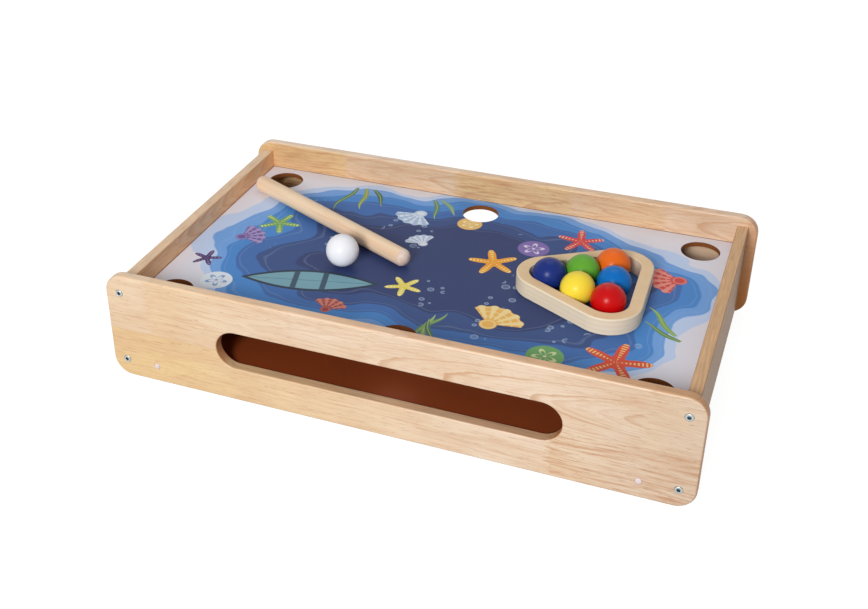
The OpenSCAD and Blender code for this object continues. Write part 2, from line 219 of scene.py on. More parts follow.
# Wood
def wood(name, axes, glue, rows, drift=0.0, warm=0.0, painted_face_light=1.0, edge_tone_and_sheen=(202, 142, 86),
         edge_share=0.3, painted_edge_drift=0.0, painted_end_shade=0.0, painted_corner_shade=0.0, gloss=0.45):
    """Lacquered rubberwood, edge glued from finger jointed staves.

    axes names the coordinates along the grain, across the staves and through the board. glue is where
    the lower and the upper row of staves meet. A stave is where it starts, how pink and how streaky it
    is, and the figure of its rings: the figure's middle, its tip, and how fast it opens from there. drift
    is how much pinker the wood grows along the board, and warm is the tone of its faces. tint makes the
    faces lighter with painted light where it is above 1, and darker with painted shade where it is below
    1.
    The edges take on a share of edge_tone_and_sheen, their own tone, which where it is pale is a painted
    sheen; the share grows along the board by painted_edge_drift, as painted shade on the front board and
    as painted sheen on the back one. painted_end_shade is how much painted shade darkens the last staves,
    and stain how much warm brown painted shade falls on the last centimetre low down, where the board
    reaches past an end board.
    """
    f = new_finish(name)
    coords = dict(zip("xyz", f.split(f.place())))
    along, across, through = (coords[a] for a in axes)
    upper = across > glue
    fingers = abs((across / FINGER_PITCH) % 1.0 - 0.5) * (2 * FINGER_LEN) - FINGER_LEN / 2
    reach = along + fingers

    def trait(index):
        """What the stave at this place has of one trait."""
        shares = []
        for row in rows:
            share = row[0][index]
            for before, stave in zip(row, row[1:]):
                share = share + (reach > stave[0]) * (stave[index] - before[index])
            shares.append(share)
        return shares[0] + upper * (shares[1] - shares[0])

    pink, streaky, heart, tip, opening = (trait(i) for i in range(1, 6))
    stave = heart * 0.37 + tip * 0.013
    # Growth rings about a heart that comes nearer to the face beyond the figure's tip
    wander = f.noise(f.vector(along * 0.009, across * 0.03, stave), 1.0, 2)
    ripple = f.noise(f.vector(along * 0.035, across * 0.16, stave), 1.0, 3)
    side = across - heart + (wander - 0.5) * 9 + (ripple - 0.5) * 3
    deep = HEART_DEPTH - opening * (along - tip) + abs(through) * 0.05 + (ripple - 0.5) * 0.8
    radius = (side * side + deep * deep) ** 0.5
    ring = radius / RING_WIDTH
    chance = f.add("TexWhiteNoise", {"noise_dimensions": "1D"},
                   {"W": ring.math("FLOOR") + stave.math("FLOOR")})
    late = f.step(ring % 1.0, 0.25, 0.88) * (1 - f.step(ring % 1.0, 0.88, 1.0))
    open_figure = f.step(abs(side) / radius, 0.35, 0.9)
    rings = late * (0.12 + chance * chance * 0.88) * (1 - open_figure * 0.72)

    def grain(lengthwise, crosswise, inwards, detail=2.0, roughness=0.5):
        return f.noise(f.vector(along * lengthwise, crosswise, inwards), 1.0, detail, roughness)

    # Fine lines along the grain, streaks, pores and flecks
    lines = grain(0.028, across * 0.5, through * 0.5 + stave, 5, 0.66)
    fine = grain(0.05, across * 2.4, through * 2.4 + stave, 3, 0.6)
    streaks = grain(0.026, across * 0.36 + wander * 3, through * 0.3 + stave, 4, 0.66)
    pores = f.step(grain(0.1, across * 1.1, through * 1.1 + stave), 0.63, 0.75)
    flecks = f.step(grain(0.06, across * 0.6, through * 0.55 - stave, 3), 0.68, 0.8)
    clouds = grain(0.012, across * 0.035, through * 0.05 + stave * 5)
    # Colour: yellow or pink staves, browner late wood and streaks
    color = f.blend(pink + along * drift, rgb(242, 209, 152), rgb(243, 220, 195))
    color = f.blend(f.step(clouds, 0.3, 0.75) * 0.5, color, rgb(226, 186, 146))
    color = f.blend(rings * (0.4 + 0.5 * f.step(opening, 0.02, 0.05)), color, rgb(206, 156, 114))
    color = f.blend(f.step(lines, 0.45, 0.75) * 0.55, color, rgb(208, 156, 112))
    color = f.blend(f.step(fine, 0.5, 0.72) * 0.35, color, rgb(250, 231, 202))
    color = f.blend(f.step(streaks, 0.44, 0.7) * streaky, color, rgb(204, 148, 108))
    color = f.blend(pores * (0.5 + streaky * 0.25), color, rgb(164, 110, 74))
    color = f.blend(flecks * 0.5, color, rgb(186, 128, 84))
    # Glue line, and end grain where a surface faces along the staves
    line = 1 - f.step(abs(across - glue), 0.1, 0.5)
    color = f.blend(line * 0.22, color, rgb(182, 126, 84))
    facing = dict(zip("xyz", f.facing()))
    end_grain = f.step(abs(facing[axes[0]]), 0.3, 0.9)
    dots = grain(0.3, across * 2.2, through * 2.2)
    color = f.blend(end_grain * (0.55 + 0.35 * dots), color, rgb(204, 132, 80))
    # The faces' tone with painted light and shade, and planed and routed edges with a tone, a painted
    # sheen and streaks of their own
    edge = 1 - f.step(abs(facing[axes[2]]), 0.35, 0.85)
    if warm:
        color = f.blend(warm, color, rgb(206, 146, 86))
    # Painted light and shade on the faces: tint above 1 lightens them, below 1 darkens them
    color = f.shade(color, painted_face_light + edge * (1 - painted_face_light))
    # Edges take on their tone, a painted sheen where it is pale, in a share that grows along the board by
    # painted_edge_drift as painted shade and painted sheen
    color = f.blend(edge * (edge_share + along * painted_edge_drift), color, rgb(*edge_tone_and_sheen))
    color = f.shade(color, 1 + edge * (lines - 0.5) * 1.2)
    # Painted shade: the wood grows darker towards the board's far end
    color = f.shade(color, 1 - f.step(along, 120, 330) * painted_end_shade)
    # Painted shade, warm and brown, on the last centimetre low down, by the end board's outer face
    if painted_corner_shade:
        low = f.step(along, OUTER_X - 4, OUTER_X + 2) * painted_corner_shade * (1 - across / 160)
        color = f.blend(low, color, rgb(206, 130, 64))
    height = fine * 0.5 - pores * 0.8 - late * 0.15
    rough = 0.4 + pores * 0.15 + (lines - 0.5) * 0.12
    return f.surface(color, rough, height, 0.05, Specular_IOR_Level=gloss)


def birch_ply():
    """Birch plywood: a quiet face veneer, and broad pale plies along the edge."""
    f = new_finish("birch_ply")
    x, y, z = f.split(f.place((*RACK_AT, BED_TOP), RACK_TURN))
    lines = f.noise(f.vector(x * 0.035, y * 0.8, z * 0.8), 1.0, 4, 0.6)
    wave = f.noise(f.vector(x * 0.012, y * 0.045, z * 0.1), 1.0, 3)
    pores = f.step(f.noise(f.vector(x * 0.2, y * 3, z * 3)), 0.62, 0.75)
    face = f.blend(f.step(wave, 0.3, 0.75), rgb(240, 210, 169), rgb(233, 199, 154))
    face = f.blend(f.step(lines, 0.45, 0.75) * 0.35, face, rgb(224, 186, 140))
    face = f.blend(pores * 0.2, face, rgb(196, 150, 106))
    # Plies lie crossed, and the cut fibres of every second one look darker
    edge_wander = f.noise(f.vector(x * 0.05, y * 0.05, z * 0.4), 1.0, 3)
    layer = (z + (edge_wander - 0.5) * 0.6) / 2.6
    crossed = f.step(abs(layer % 2.0 - 1.0), 0.3, 0.7)
    fibre = f.noise(f.vector(x * 0.12, y * 0.12, z * 2.2), 1.0, 3, 0.6)
    edge = f.blend(crossed, rgb(236, 222, 197), rgb(233, 216, 188))
    edge = f.blend(f.step(fibre, 0.45, 0.8) * 0.18, edge, rgb(214, 190, 156))
    upright = f.facing()[2]
    color = f.blend(f.step(abs(upright), 0.8, 0.99), edge, face)
    height = lines * 0.5 - pores * 0.6 + fibre * 0.3
    return f.surface(color, 0.5 + (lines - 0.5) * 0.15, height, 0.05, Specular_IOR_Level=0.4)


def beech():
    """Turned beech: straight fine grain with ray flecks, and pale end grain on the domes."""
    f = new_finish("beech")
    x, y, z = f.split(f.place(CUE_AT, CUE_TURN))
    lines = f.noise(f.vector(x * 0.014, y * 0.42, z * 0.42), 1.0, 5, 0.65)
    broad = f.noise(f.vector(x * 0.006, y * 0.16, z * 0.16))
    rays = f.step(f.noise(f.vector(x * 0.16, y * 1.9, z * 1.9)), 0.62, 0.74)
    color = f.blend(f.step(broad, 0.35, 0.7), rgb(240, 213, 180), rgb(233, 199, 164))
    color = f.blend(f.step(lines, 0.45, 0.72) * 0.5, color, rgb(212, 168, 130))
    color = f.blend(rays * 0.25, color, rgb(196, 150, 112))
    dome_start = CUE_LEN / 2 - CUE_DOME
    cut_across = f.step(abs(x), dome_start - 0.6, dome_start + 0.3)
    rings = f.noise(f.vector(y * 0.55, z * 0.16, x * 0.02), 1.0, 3)
    ends = f.blend(f.step(rings, 0.35, 0.7), rgb(234, 214, 202), rgb(220, 190, 172))
    color = f.blend(cut_across, color, ends)
    height = lines * 0.6 - rays * 0.6
    return f.surface(color, 0.44 + (lines - 0.5) * 0.15, height, 0.06, Specular_IOR_Level=0.45)


def hardboard_look(f, face, fibre_color):
    """Colour and fibres of pressed brown fibreboard."""
    place = f.place()
    cloud = f.noise(place, 0.012, 3)
    fibres = f.noise(place, 1.3, 4, 0.7)
    bits = f.step(f.noise(place, 0.55, 3, 0.65), 0.6, 0.78)
    color = f.blend(f.step(fibres, 0.4, 0.7) * 0.6, face, fibre_color)
    color = f.blend(bits * 0.4, color, rgb(52, 22, 10))
    return f.shade(color, 0.86 + cloud * 0.3), fibres


def hardboard():
    """Bare hardboard with a slight sheen."""
    f = new_finish("hardboard")
    color, fibres = hardboard_look(f, rgb(133, 58, 22), rgb(149, 73, 33))
    return f.surface(color, 0.52 + (fibres - 0.5) * 0.2, fibres, 0.08, Specular_IOR_Level=0.35)


def ball_paint(name, color):
    """Satin paint on a turned wooden ball: a faint stipple and slightly uneven coat."""
    f = new_finish(name)
    place = f.place()
    uneven = f.noise(place, 0.06)
    stipple = f.noise(place, 1.6, 3, 0.6)
    coat = f.shade(color, 0.95 + uneven * 0.1)
    return f.surface(coat, 0.3 + (uneven - 0.5) * 0.1, stipple, 0.02, Specular_IOR_Level=0.18)


def screw_steel():
    """Zinc plated steel: bright and slightly blue, with painted shade in its hexagon socket."""
    f = new_finish("screw_steel")
    place = f.place()
    x, y, z = f.split(place)
    dull = f.noise(place, 0.9, 3)
    sideways, upwards = abs(x) - SCREW_X, abs(z - BOARD_H / 2) - (SCREW_Z[1] - SCREW_Z[0]) / 2
    from_axis = (sideways * sideways + upwards * upwards) ** 0.5
    # Painted shade in the hexagon socket: darker and bluer where the surface lies sunk below the head
    sunk = 1 - f.step(abs(y), OUTER_Y + 0.1, OUTER_Y + 0.7)
    socket = (1 - f.step(from_axis, SOCKET_R, SOCKET_R + 0.2)) * sunk
    color = f.blend(dull, rgb(196, 202, 200), rgb(164, 172, 174))
    color = f.blend(socket, color, rgb(84, 108, 124))
    return f.surface(color, 0.26 + dull * 0.16 + socket * 0.2, dull, 0.02, Metallic=1.0)


def pale_plastic():
    """Moulded off-white plastic with a faint pink cast."""
    f = new_finish("pale_plastic")
    cloud = f.noise(f.place(), 0.7, 3)
    color = f.blend(cloud, rgb(244, 230, 230), rgb(224, 204, 206))
    return f.surface(color, 0.24 + cloud * 0.1, cloud, 0.03)


def woven_elastic(name, x_middle):
    """Elastic cord in a braided cover, its threads crossing round the cord."""
    f = new_finish(name)
    x, y, z = f.split(f.place((x_middle, 0, CORD_Z)))
    threads, lay = 8, 0.55
    angle = x.math("ARCTAN2", z) * (threads / (2 * math.pi))
    right_hand = (angle + y * lay) % 1.0
    left_hand = (angle - y * lay) % 1.0
    over = f.step(abs(right_hand - 0.5), 0.0, 0.5)
    under = f.step(abs(left_hand - 0.5), 0.0, 0.5)
    top = (1 - over).math("MAXIMUM", 1 - under)
    # Painted shade: the threads that pass under the others are darker
    color = f.blend(top, rgb(176, 172, 170), rgb(238, 234, 230))
    return f.surface(color, 0.72 + (1 - top) * 0.15, top, 0.35, Sheen_Weight=0.2)


# The printed bed
def printed_board():
    """The bed's print, water seen from above, on its upper face; bare fibreboard elsewhere."""
    f = new_finish("printed_board")
    place = f.place()
    x, y, z = f.split(place)

    def local(cx, cy, turn):
        c, s = math.cos(math.radians(turn)), math.sin(math.radians(turn))
        dx, dy = x - cx, y - cy
        return dx * c + dy * s, dy * c - dx * s

    def polar(cx, cy, turn):
        lx, ly = local(cx, cy, turn)
        return (lx * lx + ly * ly) ** 0.5, ly.math("ARCTAN2", lx)

    def inside(depth, soft=0.5):
        return f.step(depth, -soft, soft)

    # Depth of the water: shallow at the rim, deepest in the middle
    swell = f.noise(place, 0.0085, 1.5, 0.45)
    lap = f.noise(place, 0.021, 1.0, 0.4)
    ex, ey = x / 275, (y - 5) / 159
    rim = (ex * ex * ex * ex + ey * ey * ey * ey) ** 0.25
    water = (1 - rim) + (swell - 0.5) * 0.5 + (lap - 0.5) * 0.16
    color = rgb(230, 229, 239)
    for level, shade in [
        (0.06, (199, 217, 248)), (0.11, (119, 168, 230)), (0.17, (78, 140, 210)),
        (0.25, (68, 112, 178)), (0.34, (58, 82, 134)), (0.45, (50, 64, 110)),
    ]:
        color = f.blend(inside(water - level, 0.004), color, rgb(*shade))
        ripple = inside(0.0035 - abs(water - level - 0.022), 0.0015)
        color = f.blend(ripple * 0.09, color, rgb(196, 216, 244))

    # Strings of bubbles
    spread = 0.06
    drifted = f.add("VectorMath", {"operation": "ADD"}, {0: f.vector(x, y, 0), 1: (7, 3, 0)})
    cell = f.add("TexVoronoi", {"voronoi_dimensions": "2D"},
                 {"Vector": drifted, "Scale": spread, "Randomness": 0.8})
    lot = f.split(Val(f, cell.socket.node.outputs[1]))
    near = cell * (1 / spread)
    strings = f.step(f.noise(f.vector(x * 1.6, y * 0.7, 4.0), 0.012, 1), 0.6, 0.62)
    radius = 1.4 + lot[0] * 3.2
    bubble = inside(radius - near, 0.35) - inside(radius - 0.9 - near, 0.35) * 0.7
    shown = bubble * strings * f.step(water, 0.2, 0.24)
    color = f.blend(shown * 0.6, color, rgb(190, 212, 242))

    # A slate blue rowing boat with a pale floor and two thwarts
    lx, ly = local(-122, -70, 14)
    part = lx / 74
    hull = 21 * (1 - part * part) - abs(ly)
    within = inside(hull - 4)
    thwarts = inside(3 - abs((lx + 62) % 31.0 - 15.5)) * inside(36 - abs(lx))
    color = f.blend(inside(hull), color, rgb(44, 58, 74))
    color = f.blend(within, color, rgb(124, 168, 182))
    color = f.blend(within * inside(0.6 - abs(ly), 0.3), color, rgb(92, 134, 152))
    color = f.blend(within * thwarts, color, rgb(62, 84, 104))

    # Kelp: wavy blades that taper to a tip
    for cx, cy, size, turn, leaf in [
        (-156, 148, 62, 262, (92, 132, 84)), (-146, 150, 54, 284, (146, 162, 84)),
        (-136, 150, 44, 306, (78, 112, 82)), (14, -128, 52, 70, (104, 146, 84)),
        (24, -130, 44, 96, (136, 168, 96)), (34, -128, 36, 118, (84, 122, 90)),
        (250, -40, 56, 128, (134, 172, 84)), (256, -48, 46, 152, (98, 140, 76)),
        (-60, 150, 48, 292, (98, 140, 112)), (-52, 152, 40, 314, (128, 166, 134)),
    ]:
        lx, ly = local(cx, cy, turn)
        part = lx / size
        bow = ly - (lx / 9).math("SINE") * (1 + 2.2 * part)
        blade = inside(4.2 * (1 - part) * (0.4 + 2 * part) - abs(bow), 0.4) * inside(lx, 0.4)
        color = f.blend(blade, color, rgb(*leaf))
        color = f.blend(blade * inside(0.5 - abs(bow), 0.3) * 0.5, color, rgb(214, 226, 170))

    # Ribbed shells, open like fans
    for cx, cy, size, turn, shell, rib in [
        (76, -84, 34, 70, (240, 186, 96), (252, 232, 172)),
        (-64, 112, 28, 250, (226, 236, 248), (156, 184, 222)),
        (236, 66, 30, 200, (212, 76, 74), (244, 168, 152)),
        (-232, -10, 26, 40, (112, 90, 156), (186, 168, 214)),
        (-38, 46, 20, 130, (232, 236, 244), (168, 190, 224)),
        (-84, -116, 21, 84, (168, 72, 70), (222, 146, 128)),
    ]:
        far, angle = polar(cx, cy, turn)
        waves = (angle * 15).math("COSINE")
        fan = inside(1.05 - abs(angle), 0.02) * inside(size * (1 + waves * 0.035) - far)
        hinge = inside(size * 0.26 - far)
        shape = fan.math("MAXIMUM", hinge)
        ribs = inside(waves, 0.35) * inside(far - size * 0.3, 1.5)
        bands = inside(((far / size * 4.2) % 1.0 - 0.72), 0.06) * 0.5
        color = f.blend(shape, color, rgb(*shell))
        color = f.blend(shape * (ribs * 0.75 + bands * (1 - ribs)), color, rgb(*rib))

    # Starfish with knobbly arms
    for cx, cy, size, turn, star, knob in [
        (206, -104, 34, 12, (222, 84, 62), (250, 200, 130)),
        (46, 34, 27, 40, (246, 166, 58), (254, 228, 140)),
        (-206, 34, 24, 5, (122, 172, 98), (226, 232, 152)),
        (122, 112, 26, 28, (218, 76, 80), (248, 196, 172)),
        (-26, -46, 20, 60, (238, 218, 100), (254, 246, 190)),
        (-246, -66, 17, 20, (78, 58, 104), (150, 128, 176)),
    ]:
        far, angle = polar(cx, cy, turn)
        arm = ((angle * 5).math("COSINE") * 0.5 + 0.5) ** 1.7
        shape = inside(size * (0.32 + arm * 0.68) - far)
        dots = inside(abs((far / 3.8) % 1.0 - 0.5) * -2 + 0.5, 0.15) * inside(arm - 0.88, 0.03)
        color = f.blend(shape, color, rgb(*star))
        color = f.blend(shape * dots, color, rgb(*knob))

    # Round sea biscuits with a flower of five petals
    for cx, cy, size, turn, disc, petal in [
        (-214, -104, 17, 0, (232, 240, 250), (140, 170, 214)),
        (78, 78, 17, 20, (134, 112, 178), (228, 218, 242)),
        (142, -118, 18, 50, (120, 176, 110), (224, 236, 172)),
        (-4, 108, 14, 10, (240, 196, 120), (250, 236, 190)),
    ]:
        far, angle = polar(cx, cy, turn)
        lobe = abs((angle * 2.5).math("COSINE"))
        flower = inside(lobe * size * 0.72 - far) * inside(far - lobe * size * 0.52 + 0.5)
        color = f.blend(inside(size - far), color, rgb(*disc))
        color = f.blend(flower + inside(size * 0.1 - far), color, rgb(*petal))

    # Ink grain and satin stipple; bare board on the edges and below, where it is paler, and a thin strip
    # of bare board at the trim as a painted shadow line where the bed meets the boards
    grain = f.noise(place, 1.1, 2, 0.7)
    color = f.shade(color, 0.94 + grain * 0.12)
    bare = hardboard_look(f, rgb(132, 78, 40), rgb(160, 100, 56))[0]
    bare = f.blend(f.step(z, BED_UNDER + 0.1, BED_UNDER + 0.2), rgb(160, 112, 72), bare)
    # A painted shadow line: a thin strip of dark bare board along the boards
    gap_shade_x = f.step(abs(x), INNER_X - 0.9, INNER_X - 0.6)
    gap_shade_y = f.step(abs(y), INNER_Y - 0.9, INNER_Y - 0.6)
    printed = f.step(z, BED_TOP - 0.2, BED_TOP - 0.1) * (1 - gap_shade_x) * (1 - gap_shade_y)
    color = f.blend(printed, bare, color)
    rough = 0.46 + (grain - 0.5) * 0.2
    return f.surface(color, rough, grain, 0.05, Specular_IOR_Level=0.15)


# Modelling
def activate(piece):
    bpy.ops.object.select_all(action="DESELECT")
    piece.select_set(True)
    bpy.context.view_layer.objects.active = piece


def begin(add, name, **how):
    """Adds a primitive as the start of a piece, with its place in its mesh."""
    bpy.ops.object.select_all(action="DESELECT")
    add(**how)
    piece = bpy.context.object
    piece.name = piece.data.name = name
    bpy.ops.object.transform_apply(location=True, rotation=True, scale=True)
    return piece


def block(name, low, high):
    """A box between two corners given in millimetres."""
    middle = [(a + b) / 2 * MM for a, b in zip(low, high)]
    size = [(b - a) * MM for a, b in zip(low, high)]
    return begin(bpy.ops.mesh.primitive_cube_add, name, size=1, location=middle, scale=size)


def rod(name, middle, radius, length, axis, sides=48):
    """A cylinder in millimetres along an axis."""
    turn = {"x": (0, math.pi / 2, 0), "y": (math.pi / 2, 0, 0), "z": (0, 0, 0)}[axis]
    return begin(bpy.ops.mesh.primitive_cylinder_add, name, vertices=sides, radius=radius * MM,
                 depth=length * MM, location=[c * MM for c in middle], rotation=turn)


def edit(piece):
    activate(piece)
    bpy.ops.object.mode_set(mode="EDIT")


def done():
    bpy.ops.object.mode_set(mode="OBJECT")


def pick(piece, test):
    """In edit mode, leaves selected the faces whose corners, in millimetres, all pass a test."""
    bpy.ops.mesh.select_mode(type="FACE")
    bpy.ops.mesh.select_all(action="DESELECT")
    mesh = bmesh.from_edit_mesh(piece.data)
    for face in mesh.faces:
        face.select_set(all(test(v.co / MM) for v in face.verts))
    bmesh.update_edit_mesh(piece.data)


def bevel_edges(piece, width, steps, test, clamp=False):
    """Rounds the edges that pass a test, which gets an edge and its two ends in millimetres."""
    edit(piece)
    bpy.ops.mesh.select_mode(type="EDGE")
    bpy.ops.mesh.select_all(action="DESELECT")
    mesh = bmesh.from_edit_mesh(piece.data)
    for edge in mesh.edges:
        edge.select_set(test(edge, *(v.co / MM for v in edge.verts)))
    bmesh.update_edit_mesh(piece.data)
    bpy.ops.mesh.bevel(offset=width * MM, segments=steps, affect="EDGES", clamp_overlap=clamp)
    done()


def round_along(piece, axis, width, steps):
    """Rounds the edges of a box that run along an axis."""
    index = "xyz".index(axis)
    bevel_edges(piece, width, steps,
                lambda edge, a, b: abs((a - b).normalized()[index]) > 0.99, clamp=True)


def ease(piece, width, steps, test):
    """Rounds the sharp edges whose ends both pass a test."""
    bevel_edges(piece, width, steps,
                lambda edge, a, b: edge.calc_face_angle(0) > SHARP and test(a) and test(b), clamp=True)


def is_wall(face, axis):
    """Whether a face stands along an axis rather than across it."""
    return abs(face.normal["xyz".index(axis)]) < 0.5


def is_rim(edge, a, b):
    """Whether an edge runs level along an upright wall."""
    return abs(a.z - b.z) < NEAR and any(is_wall(face, "z") for face in edge.link_faces)


def apply(piece, kind, **settings):
    """Adds a modifier to a piece and applies it."""
    modifier = piece.modifiers.new(kind.lower(), kind)
    for key, value in settings.items():
        setattr(modifier, key, value)
    activate(piece)
    bpy.ops.object.modifier_apply(modifier=modifier.name)


def cut(piece, cutter):
    """Takes a cutter's shape out of a piece."""
    apply(piece, "BOOLEAN", operation="DIFFERENCE", solver="EXACT", object=cutter)
    bpy.data.objects.remove(cutter)


def shift(x, y, z):
    return Matrix.Translation((x * MM, y * MM, z * MM))


def settle(piece, material, slot, body, node):
    """Smooths a finished piece, gives it its finish and puts it on its body in place of its node."""
    activate(piece)
    bpy.ops.object.shade_smooth_by_angle(angle=math.radians(SMOOTH_ANGLE))
    apply(piece, "WEIGHTED_NORMAL", keep_sharp=True)
    piece.data.materials.clear()
    piece.data.materials.append(material)
    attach(piece, body)
    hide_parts(node)


def set_in_boards(model, name, spots, depth, twist, material, slot, node):
    """Sets copies of a model, each with its own mesh, at spots in the outer sides of both long boards.

    depth is how far in the model's middle lies, and twist how much farther each copy is turned.
    """
    count = 0
    for turn in (0, math.pi):
        for x, z in spots:
            count += 1
            twin = model.copy()
            twin.data = model.data.copy()
            twin.name = twin.data.name = f"{name}_{count}"
            bpy.context.scene.collection.objects.link(twin)
            seat = Matrix.Rotation(turn, 4, "Z") @ shift(x, depth - OUTER_Y, z)
            twin.data.transform(seat @ Matrix.Rotation(twist * count, 4, "Y"))
            settle(twin, material, slot, "box", node)
    bpy.data.objects.remove(model)


# The box
def long_board(name, front, material):
    """A slotted board with rounded corners; front is -1 for the front board and 1 for the back one."""
    outside, inside = front * OUTER_Y, front * INNER_Y
    middle = (outside + inside) / 2
    low, high = min(outside, inside), max(outside, inside)

    def round_a_face(edge, a, b):
        on_face = all(min(abs(p.y - outside), abs(p.y - inside)) < NEAR for p in (a, b))
        return on_face and abs(a.y - b.y) < NEAR

    def round_the_slot(edge, a, b):
        half_len, half_h = SLOT_LEN / 2 + NEAR, SLOT_H / 2 + NEAR
        in_slot = all(abs(p.x) < half_len and abs(p.z - BOARD_H / 2) < half_h for p in (a, b))
        by_wall = any(is_wall(face, "y") for face in edge.link_faces)
        return in_slot and by_wall and round_a_face(edge, a, b)

    board = block(name + "_rubberwood", (-BOARD_LEN / 2, low, 0), (BOARD_LEN / 2, high, BOARD_H))
    round_along(board, "y", CORNER_R, 14)
    bevel_edges(board, EDGE_R, 5, round_a_face)
    # The slot, rounded along its rims
    slot = block("slot", (-SLOT_LEN / 2, middle - THROUGH / 2, (BOARD_H - SLOT_H) / 2),
                 (SLOT_LEN / 2, middle + THROUGH / 2, (BOARD_H + SLOT_H) / 2))
    round_along(slot, "y", SLOT_H / 2 - 0.001, 20)
    cut(board, slot)
    bevel_edges(board, SLOT_EDGE, 4, round_the_slot)
    # Seats of the screws and of the cord stops, and the screws' and the cords' way through
    for x in (-SCREW_X, SCREW_X):
        for z in SCREW_Z:
            cut(board, rod("seat", (x, outside, z), HEAD_SEAT_R, 2 * HEAD_SEAT, "y"))
            cut(board, rod("bore", (x, middle, z), BORE_R, THROUGH, "y"))
    for x in (-CORD_X, CORD_X):
        cut(board, rod("seat", (x, outside, CORD_Z), STOP_SEAT_R, 2 * STOP_SEAT, "y"))
        cut(board, rod("way", (x, middle, CORD_Z), WAY_R, THROUGH, "y"))
    # Grooves of the panels and the housing of the gate bar
    groove_low, groove_high = sorted((inside - front, inside + front * GROOVE))
    for under, top in GROOVES:
        cut(board, block("groove", (-INNER_X - GROOVE, groove_low, under),
                         (INNER_X + GROOVE, groove_high, top)))
    house_low, house_high = sorted((inside - front, inside + front * HOUSING))
    house_x = BAR_T / 2 + HOUSING_GAP
    cut(board, block("housing", (-house_x, house_low, END_LOW), (house_x, house_high, SLING_UNDER + 1)))
    settle(board, material, "rubberwood", "box", name)


def end_board(name, side, material):
    """A board between the long boards; side is -1 for the left one and 1 for the right one."""
    inner, outer = side * INNER_X, side * OUTER_X
    low, high = min(inner, outer), max(inner, outer)
    board = block(name + "_rubberwood", (low, -INNER_Y, END_LOW), (high, INNER_Y, END_HIGH))
    round_along(board, "y", END_EDGE, 4)
    groove_low, groove_high = sorted((inner - side, inner + side * GROOVE))
    for under, top in GROOVES:
        cut(board, block("groove", (groove_low, -INNER_Y - 1, under), (groove_high, INNER_Y + 1, top)))
    bore_y = INNER_Y + 1 - BORE_LEN / 2
    for z in SCREW_Z:
        for y in (-bore_y, bore_y):
            cut(board, rod("bore", (side * SCREW_X, y, z), BORE_R, BORE_LEN, "y"))
    settle(board, material, "rubberwood_ends", "box", name)


def pool_bed(material):
    """The upper panel with its six pockets, eased along its rims."""
    bed = block("pool_bed_print", (-PANEL_X, -PANEL_Y, BED_UNDER), (PANEL_X, PANEL_Y, BED_TOP))
    for x, y in POCKETS:
        cut(bed, rod("pocket", (x, y, BED_TOP), POCKET_R, THROUGH, "z", sides=96))
    bevel_edges(bed, POCKET_EDGE, 2, is_rim)
    settle(bed, material, "printed_board", "box", "pool_bed")


def gate_bar(material):
    """The bar across the sling board, with its gate against the board."""
    half, reach = BAR_T / 2, INNER_Y + HOUSING
    bar = block("gate_bar_rubberwood", (-half, -reach, END_LOW), (half, reach, SLING_UNDER))
    gate = block("gate", (-THROUGH / 2, -GATE_W / 2, SLING_UNDER - GATE_H),
                 (THROUGH / 2, GATE_W / 2, SLING_UNDER + THROUGH))
    round_along(gate, "x", GATE_R, 8)
    cut(bar, gate)
    ease(bar, BAR_EDGE, 3, lambda p: p.z < SLING_UNDER - NEAR)
    settle(bar, material, "rubberwood", "box", "gate_bar")


def corner_screws(material):
    """Socket screws with low domed heads, modelled once and set in all eight seats."""
    top = -HEAD_H / 2
    screw = rod("screw", (0, 0, 0), HEAD_R, HEAD_H, "y")
    edit(screw)
    pick(screw, lambda p: p.y > -top - NEAR)
    bpy.ops.mesh.inset(thickness=(HEAD_R - SHANK_R) * MM)
    for length in (SHANK_LEN - POINT_LEN, POINT_LEN):
        bpy.ops.mesh.extrude_region_move(TRANSFORM_OT_translate={"value": (0, length * MM, 0)})
    bpy.ops.transform.resize(value=(POINT_SHARE, 1, POINT_SHARE))
    done()

    def on_top(p):
        return abs(p.y - top) < NEAR

    ease(screw, HEAD_EDGE, 5, on_top)
    cut(screw, rod("socket", (0, top, 0), SOCKET_R, 2 * SOCKET_DEPTH, "y", sides=6))
    ease(screw, SOCKET_EDGE, 2, lambda p: on_top(p) and math.hypot(p.x, p.z) < SOCKET_R + NEAR)
    spots = [(x, z) for x in (-SCREW_X, SCREW_X) for z in SCREW_Z]
    set_in_boards(screw, "corner_screw", spots, HEAD_H / 2 - HEAD_PROUD, SOCKET_TURN,
                  material, "screw_steel", "corner_screws")


def domed_end(piece, test, axis, depth):
    """Builds a dome on the end face whose corners pass a test, ring by ring and almost to the tip."""
    edit(piece)
    pick(piece, test)
    index = "xyz".index(axis)
    rings, left_over = 8, 0.6
    last_reach, last_size = 0.0, 1.0
    for i in range(1, rings + 1):
        angle = math.pi / 2 * i / (rings + left_over)
        reach, size = math.sin(angle), math.cos(angle)
        move = [0, 0, 0]
        move[index] = (reach - last_reach) * depth * MM
        bpy.ops.mesh.extrude_region_move(TRANSFORM_OT_translate={"value": move})
        scale = [size / last_size] * 3
        scale[index] = 1
        bpy.ops.transform.resize(value=scale)
        last_reach, last_size = reach, size
    done()


def cord_stops(material):
    """Domed buttons, bored to grip the ends of the cords."""
    stop = rod("cord_stop", (0, STOP_LEN / 2, 0), STOP_R, STOP_LEN, "y", sides=40)
    domed_end(stop, lambda p: p.y < NEAR, "y", -STOP_PROUD)
    cut(stop, rod("grip", (0, STOP_LEN, 0), GRIP_R, 2 * GRIP, "y", sides=40))
    spots = [(-CORD_X, CORD_Z), (CORD_X, CORD_Z)]
    set_in_boards(stop, "cord_stop", spots, 0, 0, material, "pale_plastic", "cord_stops")


